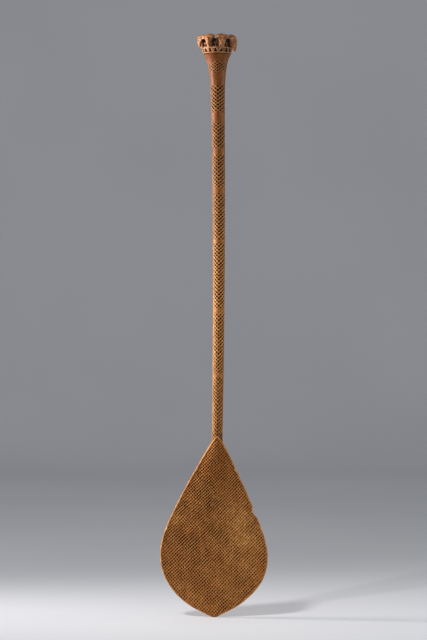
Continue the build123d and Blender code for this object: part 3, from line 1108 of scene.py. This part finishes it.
@dataclass
class Crown:
    """The pierced head: two mouldings, a gallery, a pierced wall and eight figures joined in pairs.

    Lengths are in millimetres and heights are measured from the foot of the wall.

    Attributes:
        middle: X of the crown's axis.
        neck_top: height of the neck's top.
        wall_foot: height of the wall's foot.
    """

    middle: float
    neck_top: float
    gallery_foot: float
    waist: float
    wall_foot: float
    wall_top: float
    head_top: float
    neck_radius: float = 28.0
    gallery_radius: float = 30.9
    wall_radius: float = 31.9
    gallery_wall: float = 5.0
    wall_thick: float = 4.4
    moulding_reach: float = 0.9
    first_angle: float = 16.0
    figures: int = 8
    head_width: float = 26.0
    head_depth: float = 13.5
    head_height: float = 31.0
    head_reach: float = 40.7
    chin_loss: float = 7.0
    web_drop: float = 3.4
    web_reach: float = 6.0
    worn_figures: tuple[int, ...] = (0, 5, 6, 7)
    step: float = 0.45

    def turned(self, x: Array, y: Array, angle: float) -> tuple[Array, Array]:
        """Coordinates along the ring and outwards for a direction given in degrees from the front."""
        turn = math.radians(angle)
        along = x * math.cos(turn) + y * math.sin(turn)
        outward = x * math.sin(turn) - y * math.cos(turn)
        return along, outward

    def figure_angle(self, index: int) -> float:
        """The direction that a figure faces, in degrees from the front."""
        return self.first_angle + 360 / self.figures * index

    def wood(self, x: Array, y: Array, z: Array) -> Array:
        """Distance to the whole crown and the top of the neck under it."""
        outward = np.hypot(x, y)
        total = np.maximum(outward - self.neck_radius, z - self.neck_top)
        for low, high, radius, thick in (
                (self.neck_top, self.gallery_foot, self.neck_radius, self.gallery_wall),
                (self.waist, self.wall_foot, self.gallery_radius, self.wall_thick)):
            ring = np.abs(outward - radius + thick / 2) - thick / 2 - self.moulding_reach
            total = np.minimum(total, np.maximum(ring, np.maximum(low - z, z - high)))
        for solid in (self.gallery_solid, self.wall_solid, self.saddle_solid):
            total = np.minimum(total, solid(x, y, z))
        for index in range(self.figures):
            along, out = self.turned(x, y, self.figure_angle(index))
            near = np.hypot(along, out - self.wall_radius) < self.head_width * 0.7
            total[near] = np.minimum(total[near], self.figure_solid(index, x[near], y[near], z[near]))
        return total

    @cached_property
    def fullness(self) -> Fullness:
        """The fullness of the crown's own space."""
        reach = self.head_reach + 6.0
        return Fullness.of(self.wood, (-reach, -reach, self.neck_top - 6.0),
                           (reach, reach, self.head_top + 6.0), 1.0, 1.3)

    def meshed(self, solid: Field, low: Sequence[float], high: Sequence[float],
               envelope: Callable[[Array], Array], reach: float, least_shade: float = 0.0) -> Surface:
        """Turns a field of distances into a surface, with marks for painted shade in its recesses and for wear and
        painted highlight on its edges.

        Args:
            solid: gives the distance at arrays of x, y, z about the crown's axis.
            low: lowest corner to look in.
            high: highest corner.
            envelope: radius of the piece's outer skin at a height.
            reach: how far inside that skin a recess takes the full painted shade.
            least_shade: the painted shade that the whole piece takes at least, from 0 to 1.

        Returns:
            The closed surface, in the part's own coordinates.
        """
        step = self.step
        axes = [np.arange(a - 2 * step, b + 3 * step, step) for a, b in zip(low, high)]
        x, y, z = np.meshgrid(*axes, indexing="ij")
        points, faces = surface_net(solid(x, y, z), np.array([axis[0] for axis in axes]), step)
        outward = np.hypot(points[:, 0], points[:, 1])
        full = self.fullness.read(points)
        # Painted shade: darker deeper inside the outer skin and where the space round is full of wood.
        cavity = np.maximum(np.clip((envelope(points[:, 2]) - outward) / reach, 0, 1),
                            smooth_step(full, 0.54, 0.74))
        # Wear and painted highlight on edges, where the space round holds little wood.
        worn = 0.22 + 0.60 * smooth_step(0.5 - full, 0.0, 0.20) + 0.22 * Waver(1.0, 11.0, 35, 7)(*points.T)
        wear_and_highlight = np.clip(1 - cavity * 2.2, 0, 1) * np.clip(worn, 0, 1)
        # A floor of painted shade over the whole piece.
        cavity = np.maximum(cavity, least_shade)
        points = points + [self.middle, 0.0, 0.0]
        return Surface(points, faces, {"cavity": cavity, "wear_and_highlight": wear_and_highlight})

    def shell(self, x: Array, y: Array, z: Array, low: float, high: float, radii: tuple[float, float],
              thick: float) -> Array:
        """Distance to a round wall between two heights whose outside leans from one radius to the other."""
        outward = np.hypot(x, y)
        t = np.clip((z - low) / (high - low), 0.0, 1.0)
        outer = mix(radii[0], radii[1], t) + Waver(0.16, 17.0, 37)(x, y, z)
        side = np.abs(outward - outer + thick / 2) - thick / 2
        return np.maximum(side, np.maximum(low - z, z - high))

    def moulding(self, low: float, high: float, radius: float, thick: float, seed: int) -> Surface:
        """A raised band: a rounded profile carried round the crown, uneven as a hand leaves it.

        The profile is a rounded box, whose corners follow |cos|^0.55 and |sin|^0.55 with their signs.

        Args:
            low: height of its underside.
            high: height of its top.
            radius: its outer radius.
            thick: its depth inwards.
            seed: picks the unevenness.

        Returns:
            The closed surface.
        """
        turn = np.linspace(0, 2 * math.pi, 240, endpoint=False)[:, None]
        t = np.linspace(0, 2 * math.pi, 36, endpoint=False)[None, :]
        squared = [np.sign(f(t)) * np.abs(f(t)) ** 0.55 for f in (np.cos, np.sin)]
        drift = Waver(0.16, 14.0, seed)(np.cos(turn) * radius, np.sin(turn) * radius)
        outward = radius - thick / 2 - 0.12 + thick / 2 * squared[0] + drift * squared[0]
        z = (low + high) / 2 + (high - low) / 2 * squared[1] * (1 + 0.4 * drift)
        z = np.clip(z, low - 0.1, high + 0.1)
        x, y = outward * np.sin(turn), -outward * np.cos(turn)
        rings = np.stack(np.broadcast_arrays(x + self.middle, y, z), axis=-1)
        faces = grid_faces(rings.shape[0], rings.shape[1], wrap_rows=True, wrap_columns=True)
        faces = oriented(rings.reshape(-1, 3), [faces])
        # Painted shade towards the band's inner side; its outer face lighter for wear and painted highlight.
        depth = np.clip((radius - outward) / 5.0, 0, 1) + 0 * turn
        wear_and_highlight = np.clip(1.0 - depth * 2.5, 0, 1)
        return Surface(rings.reshape(-1, 3), [faces], {"cavity": depth.ravel(), "wear_and_highlight": wear_and_highlight.ravel()})

    def gallery_solid(self, x: Array, y: Array, z: Array) -> Array:
        """A leaning wall cut by sixteen upright openings that narrow upwards."""
        body = self.shell(x, y, z, self.gallery_foot - 0.3, self.waist + 0.3,
                          (self.neck_radius, self.gallery_radius), self.gallery_wall)
        middle, rise = (self.gallery_foot + self.waist) / 2, (self.waist - self.gallery_foot) / 2 - 0.6
        for k in range(2 * self.figures):
            along, outward = self.turned(x, y, self.first_angle + 180 / self.figures * k)
            up = (z - middle) / rise
            half = 2.25 - 0.7 * up + 0.25 * math.sin(2.1 * k)
            hole = np.maximum(np.abs(along) - half, np.abs(z - middle) - rise)
            hole = np.maximum(hole, 5.0 - outward)
            body = soft_cut(body, hole, 1.3)
        return body

    def gallery(self) -> Surface:
        """The lower pierced ring."""
        def skin(z: Array) -> Array:
            return mix(self.neck_radius, self.gallery_radius,
                       np.clip((z - self.gallery_foot) / (self.waist - self.gallery_foot), 0, 1)) - 0.4
        reach = self.gallery_radius + 0.8
        return self.meshed(self.gallery_solid, (-reach, -reach, self.gallery_foot - 0.4),
                           (reach, reach, self.waist + 0.4), skin, 1.5)

    def wall_solid(self, x: Array, y: Array, z: Array) -> Array:
        """A wall with two small holes in each gap, then a large hole or an open notch above them."""
        body = self.shell(x, y, z, self.wall_foot - 0.3, self.wall_top, (self.gallery_radius, self.wall_radius),
                          self.wall_thick)
        for k in range(self.figures):
            along, outward = self.turned(x, y, self.figure_angle(k) + 180 / self.figures)
            low = z - self.wall_foot - 4.4
            for side in (-1, 1):
                hole = np.hypot(along - side * 3.2, low * 0.92) - 2.25
                body = soft_cut(body, np.maximum(hole, 5.0 - outward), 0.9)
            high = z - self.wall_top
            if k % 2 == 0:
                hole = np.hypot(along, (high + 6.8) * 0.9) - 3.6
            else:
                hole = np.abs(along) - (3.6 + 0.30 * high)
                hole = np.maximum(hole, -9.0 - high)
            body = soft_cut(body, np.maximum(hole, 5.0 - outward), 1.6)
        return body

    def wall(self) -> Surface:
        """The upper pierced wall."""
        def skin(z: Array) -> Array:
            return mix(self.gallery_radius, self.wall_radius,
                       np.clip((z - self.wall_foot) / (self.wall_top - self.wall_foot), 0, 1)) - 0.3
        reach = self.wall_radius + 0.8
        # Painted shade of at least 0.3 over the whole wall, for the shade between the heads.
        return self.meshed(self.wall_solid, (-reach, -reach, self.wall_foot - 0.4),
                           (reach, reach, self.wall_top + 0.4), skin, 1.7, 0.3)

    def saddle_solid(self, x: Array, y: Array, z: Array) -> Array:
        """Four saddles of wood that join paired heads: hooked over the wall, a little hollowed on top."""
        outer = self.wall_radius + self.web_reach - 0.2
        inner = self.wall_radius - self.wall_thick / 2
        total = np.full(x.shape, 50.0)
        for k in range(0, self.figures, 2):
            along, outward = self.turned(x, y, self.figure_angle(k) + 180 / self.figures)
            top = self.wall_top + 3.2 - 0.5 * bump(along, 0.0, 3.0)
            front = outer - 0.5 * bump(along, 0.0, 3.5)
            over = np.maximum(inner - outward, self.wall_top - z)
            hook = np.maximum(self.wall_radius - 0.5 - outward, self.wall_top - self.web_drop - z)
            box = np.maximum(np.minimum(over, hook), np.maximum(z - top, outward - front))
            total = np.minimum(total, np.maximum(box, np.abs(along) - 5.4))
        return total

    def saddles(self) -> Surface:
        """The four saddles in one piece."""
        reach = self.wall_radius + self.web_reach + 0.5
        return self.meshed(self.saddle_solid, (-reach, -reach, self.wall_top - self.web_drop - 0.5),
                           (reach, reach, self.wall_top + 4.0), lambda z: 0 * z + reach - 0.7, 12.0)

    def head_field(self, along: Array, outward: Array, z: Array, chin: float) -> Array:
        """Distance to a long head with a heart-shaped face, narrow at the chin and full at the brow.

        With t its share of the height, its level cut is the oval (along / W(t))^2 + ((out - C(t)) / D(t))^2
        = 1. The face stands out by a nose ridge, two brow arcs that meet over it, and closed eyes.
        """
        height = self.head_top - chin
        t = (z - chin) / height
        wide = np.array([(0.0, 0.5), (0.03, 1.8), (0.10, 3.2), (0.25, 4.9), (0.40, 6.6), (0.55, 8.8),
                         (0.74, 11.9), (0.88, 11.2), (0.96, 8.2), (1.0, 2.6)])
        deep = np.array([(0.0, 0.5), (0.03, 1.5), (0.10, 2.3), (0.25, 4.2), (0.55, 6.2), (0.74, 6.7),
                         (0.88, 5.7), (0.96, 3.8), (1.0, 1.4)])
        half_wide = smooth_through(t, wide) * self.head_width / 24.5
        half_deep = smooth_through(t, deep) * self.head_depth / 13.5
        lean = np.array([(0.0, -3.4), (0.25, -4.3), (0.55, -6.6), (0.74, -6.9), (1.0, -8.0)])
        centre = self.head_reach + smooth_through(t, lean)
        side = np.abs(along)
        brow = 0.68 + 0.075 * np.sin(np.pi * np.clip(side / 10.5, 0, 1))
        nose = smooth_step(t, 0.30, 0.40) * (1 - smooth_step(t, 0.64, 0.72))
        face = 1.2 * bump(along, 0.0, 1.4) * nose + 1.0 * bump((t - brow) * height, 0.0, 1.0)
        socket = bump(side, 4.6, 3.0) * bump((t - 0.56) * height, 0.0, 3.0)
        eye = bump(side, 4.6, 1.8) * bump((t - 0.56) * height, 0.0, 1.0)
        mouth = bump(along, 0.0, 2.6) * bump((t - 0.24) * height, 0.0, 0.8)
        face += -1.5 * socket + 1.2 * eye + 0.6 * mouth
        face *= smooth_step(outward - centre, 0.0, 2.0)
        oval = np.sqrt((along / half_wide) ** 2 + ((outward - face - centre) / half_deep) ** 2) - 1
        body = oval * np.minimum(half_wide, half_deep)
        return np.maximum(body, np.maximum((t - 1) * height, -t * height))

    def figure_chin(self, index: int) -> float:
        """Height of a figure's chin, which is higher where the tip has worn away."""
        return self.head_top - self.head_height + (self.chin_loss if index in self.worn_figures else 0.0)

    def figure_solid(self, index: int, x: Array, y: Array, z: Array) -> Array:
        """A head over a squatting body, whose knees and elbows reach towards its neighbours."""
        along, outward = self.turned(x, y, self.figure_angle(index))
        up = z - self.wall_foot
        places = (np.abs(along), outward, up)
        body = capsule(places, (0.0, 31.4, 2.4), (0.0, 31.8, 13.0), 3.6, 3.9)
        thigh = capsule(places, (1.6, 31.6, 2.6), (4.6, 33.4, 7.0), 2.1, 1.9)
        shin = capsule(places, (4.6, 33.4, 7.0), (3.2, 32.2, 1.0), 1.8, 1.6)
        upper = capsule(places, (3.6, 32.0, 13.0), (6.0, 32.2, 9.6), 1.7, 1.5)
        lower = capsule(places, (6.0, 32.2, 9.6), (1.4, 34.6, 8.2), 1.4, 1.2)
        for limb in (thigh, shin, upper, lower):
            body = soft_min(body, limb, 1.0)
        body = np.maximum(body, -up - 0.2)
        head = self.head_field(along, outward, z, self.figure_chin(index))
        whole = soft_min(body, head, 2.0)
        return whole + Waver(0.10, 6.0, 300 + index)(x, y, z)

    def figure(self, index: int) -> Surface:
        """One figure."""
        turn = math.radians(self.figure_angle(index))
        middle = np.array([math.sin(turn), -math.cos(turn)]) * 34.5
        reach = 8.0 + 7.2 * np.abs([math.cos(turn), math.sin(turn)])
        low = (*(middle - reach), min(self.figure_chin(index), self.wall_foot) - 0.5)
        high = (*(middle + reach), self.head_top + 0.3)
        def skin(z: Array) -> Array:
            return mix(33.0, 38.0, np.clip((z - self.wall_foot - 3.0) / 10.0, 0, 1))
        return self.meshed(lambda x, y, z: self.figure_solid(index, x, y, z), low, high, skin, 9.0)


class Studio:
    """The plain pale floor, the soft lamps and the camera at the photograph's viewing angle."""

    distance: float = 4.4
    view_height: float = 0.601
    view_offset: float = -0.001
    frame_height: float = 1.295

    def floor(self) -> None:
        """A floor that curves up into a backdrop: a profile of a flat run, a quarter turn and a rise."""
        bend, back = 1.3, 4.3
        turn = np.linspace(0, math.pi / 2, 24)
        run = np.array([(-9.0, 0.0), (0.0, 0.0)])
        curve = np.stack([back + bend * np.sin(turn), bend * (1 - np.cos(turn))], axis=1)
        profile = np.concatenate([run, curve, [(back + bend, 7.0)]])
        sides = np.array([-9.0, 9.0])
        points = np.array([[x, y, z] for y, z in profile for x in sides]) / MM
        surface = Surface(points, [grid_faces(len(profile), 2)])
        piece = surface.build("studio_floor")
        piece.data.materials.append(self.paper())

    def paper(self) -> bpy.types.Material:
        """Matt pale paper, with a faint unevenness."""
        made = bpy.data.materials.new("pale_paper")
        made.use_nodes = True
        nodes = NodeChain(made.node_tree)
        place = nodes.add("ShaderNodeTexCoord").outputs["Object"]
        cloud = nodes.spread(nodes.noise(place, 0.8, 2.0, 0.5), 0.3, 0.7, 0.0, 1.0)
        tone = nodes.mix_colour(cloud, (*srgb(217, 218, 222), 1.0), (*srgb(222, 223, 226), 1.0))
        shader = nodes.add("ShaderNodeBsdfPrincipled", Roughness=0.9)
        nodes.link(tone, shader.inputs["Base Color"])
        output = nodes.add("ShaderNodeOutputMaterial")
        nodes.link(shader.outputs["BSDF"], output.inputs["Surface"])
        return made

    def lamp(self, name: str, place: tuple[float, float, float], aim: tuple[float, float, float],
             size: tuple[float, float], power: float, colour: Colour = (1.0, 1.0, 1.0),
             spread: float = 180.0) -> None:
        """A soft lamp of a width and height at a place, turned towards aim, with its beam's spread in degrees."""
        data = bpy.data.lights.new(name, "AREA")
        data.shape, data.size, data.size_y = "RECTANGLE", *size
        data.energy, data.color, data.spread = power, colour, math.radians(spread)
        lamp = bpy.data.objects.new(name, data)
        lamp.location = place
        lamp.rotation_euler = (Vector(aim) - Vector(place)).to_track_quat("-Z", "Y").to_euler()
        bpy.context.scene.collection.objects.link(lamp)

    def lights(self) -> None:
        """A key lamp from the upper left front, a tall box at the left, a weak one at the right, a pale sky."""
        self.lamp("key_lamp", (-1.55, -2.05, 3.2), (0.0, 0.0, 0.35), (0.55, 0.55), 77.0)
        self.lamp("left_box", (-1.75, 0.12, 0.90), (0.0, 0.0, 0.85), (0.40, 1.5), 19.0, (1.0, 0.97, 0.95), 60.0)
        self.lamp("right_box", (1.75, 0.05, 0.90), (0.0, 0.0, 0.85), (0.35, 1.5), 3.0, (0.90, 0.95, 1.0), 60.0)
        world = bpy.data.worlds.new("pale_sky")
        world.use_nodes = True
        world.node_tree.nodes["Background"].inputs["Color"].default_value = (0.95, 0.96, 1.0, 1.0)
        world.node_tree.nodes["Background"].inputs["Strength"].default_value = 0.27
        bpy.context.scene.world = world

    def camera(self) -> None:
        """A level camera in front of the paddle, whose height of view is frame_height at the paddle."""
        data = bpy.data.cameras.new("front_camera")
        data.sensor_fit = "VERTICAL"
        data.angle = 2 * math.atan(self.frame_height / 2 / self.distance)
        camera = bpy.data.objects.new("front_camera", data)
        camera.location = (self.view_offset, -self.distance, self.view_height)
        camera.rotation_euler = (math.pi / 2, 0.0, 0.0)
        bpy.context.scene.collection.objects.link(camera)
        bpy.context.scene.camera = camera


def build_blade(shop: Workshop, form: BladeForm, shaft: Shaft) -> None:
    """Makes the notched field, the border and the shoulders, which carry on the shaft's notches."""
    blade = Blade(form)
    shop.finish("notched_field", blade.field(), Finish.BLADE, ["blade_panel"])
    band = blade.border_half(Side.FRONT).joined(blade.border_half(Side.BACK))
    shop.finish("raised_border", band, Finish.BORDER, ["blade_border"])
    shop.finish("shaft_shoulders", blade.shoulders(shaft), Finish.SHAFT, ["shaft_root"])


def build_shaft(shop: Workshop, shaft: Shaft) -> None:
    """Makes the notched shaft and the flared neck."""
    shop.finish("notched_shaft", shaft.member(shaft.low, shaft.neck, 0.94), Finish.SHAFT, ["shaft"])
    shop.finish("flared_neck", shaft.member(shaft.neck, shaft.top, 0.5), Finish.SHAFT, ["neck"])


def build_crown(shop: Workshop, form: BladeForm) -> None:
    """Makes the mouldings, the gallery, the pierced wall, the saddles and the eight figures."""
    spans = {node: node_span(node) for node in ("gallery_base_moulding", "pierced_gallery", "waist_moulding",
                                                "pierced_crown_wall", "figure_2")}
    middle = sum(corner.x for corner in spans["gallery_base_moulding"]) / 2
    crown = Crown(middle, spans["gallery_base_moulding"][0].z, spans["pierced_gallery"][0].z,
                  spans["waist_moulding"][0].z, spans["pierced_crown_wall"][0].z,
                  spans["pierced_crown_wall"][1].z, spans["figure_2"][1].z - 0.2)
    base = crown.moulding(crown.neck_top, crown.gallery_foot, crown.neck_radius + crown.moulding_reach,
                          crown.gallery_wall + crown.moulding_reach, 43)
    shop.finish("gallery_base_ring", base, Finish.CROWN, ["gallery_base_moulding"])
    shop.finish("gallery_posts", crown.gallery(), Finish.CROWN, ["pierced_gallery"])
    waist = crown.moulding(crown.waist, crown.wall_foot, crown.gallery_radius + crown.moulding_reach,
                           crown.wall_thick + crown.moulding_reach, 47)
    shop.finish("waist_ring", waist, Finish.CROWN, ["waist_moulding"])
    shop.finish("crown_wall", crown.wall(), Finish.CROWN, ["pierced_crown_wall"])
    shop.finish("brow_saddles", crown.saddles(), Finish.FIGURE, ["brow_webs"])
    for k in range(crown.figures):
        shop.finish(f"crown_figure_{k + 1}", crown.figure(k), Finish.FIGURE, [f"figure_{k + 1}"])


def main() -> None:
    """Builds the paddle piece by piece, then the studio round it."""
    logging.basicConfig(level=logging.INFO, format="%(name)s %(message)s")
    border_low, border_high = node_span("blade_border")
    form = BladeForm(width=border_high.x - border_low.x, apex_height=border_high.z,
                     foot_height=node_span("shaft")[0].z, crown_height=node_span("neck")[1].z)
    neck_low, neck_high = node_span("neck")
    shaft = Shaft(form, node_span("shaft")[0].z, neck_low.z, neck_high.z, (neck_high.x - neck_low.x) / 2)
    shop = Workshop()
    build_blade(shop, form, shaft)
    build_shaft(shop, shaft)
    build_crown(shop, form)
    studio = Studio()
    studio.floor()
    studio.lights()
    studio.camera()
    bpy.context.scene.view_settings.view_transform = "Standard"


if __name__ == "__main__":
    main()
